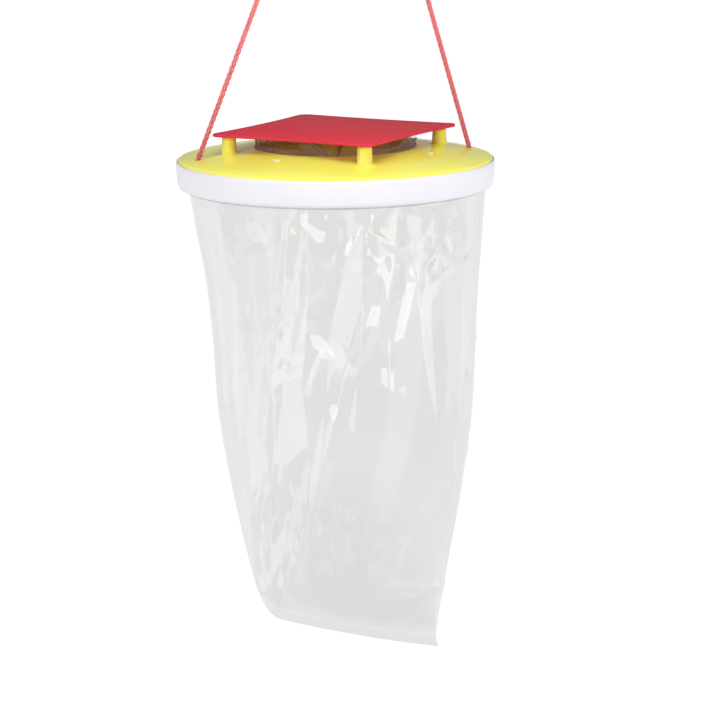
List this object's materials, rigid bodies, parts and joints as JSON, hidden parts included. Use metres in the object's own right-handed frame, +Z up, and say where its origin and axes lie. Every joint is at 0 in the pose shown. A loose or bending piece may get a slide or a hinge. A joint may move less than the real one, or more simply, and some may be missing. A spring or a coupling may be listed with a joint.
{
  "type": "wasp trap",
  "caption": "Hanging insect trap: domed lid with a netted entrance under a square rain roof, a clear film bag clamped by a ring, and a tied cord above.",
  "frame": {"origin": "the hanging point, where a hook bears up against the top knot between the two cord legs", "axes": "+Z up along the way the trap hangs, +X to the right of the front view, +Y away from the viewer"},
  "size_m": [0.2, 0.2, 0.5755],
  "materials": {
    "lid_yellow": "glossy moulded plastic",
    "roof_red": "satin moulded plastic",
    "ring_white": "satin moulded plastic",
    "bag_film": "clear glossy film",
    "net_black": "dark knotless netting",
    "clip_white": "plain moulded plastic",
    "cord_red": "braided plastic cord"
  },
  "bodies": {
    "hanger": {"cord_left": "cord_red", "cord_right": "cord_red", "left_knot": "cord_red", "right_knot": "cord_red", "hanging_knot": "cord_red"},
    "trap": {"lid": "lid_yellow", "net": "net_black", "net_frame": "lid_yellow", "net_clip_1": "clip_white", "net_clip_2": "clip_white", "net_clip_3": "clip_white", "net_clip_4": "clip_white"},
    "roof": {"roof": "roof_red"},
    "bag_unit": {"clamp_ring": "ring_white", "bag": "bag_film"}
  },
  "joints": [
    {"name": "swing", "type": "hinge", "parent": "hanger", "child": "trap", "pos_m": [-0.0142, -0.0037, -0.24844], "axis": [0.9636, 0.2672, 0], "range_deg": [-18, 18]},
    {"name": "roof_lift", "type": "slide", "parent": "trap", "child": "roof", "axis": [0, 0, 1], "range_m": [0, 0.003]},
    {"name": "bag_pull", "type": "slide", "parent": "trap", "child": "bag_unit", "axis": [0, 0, 1], "range_m": [-0.03, 0]}
  ]
}
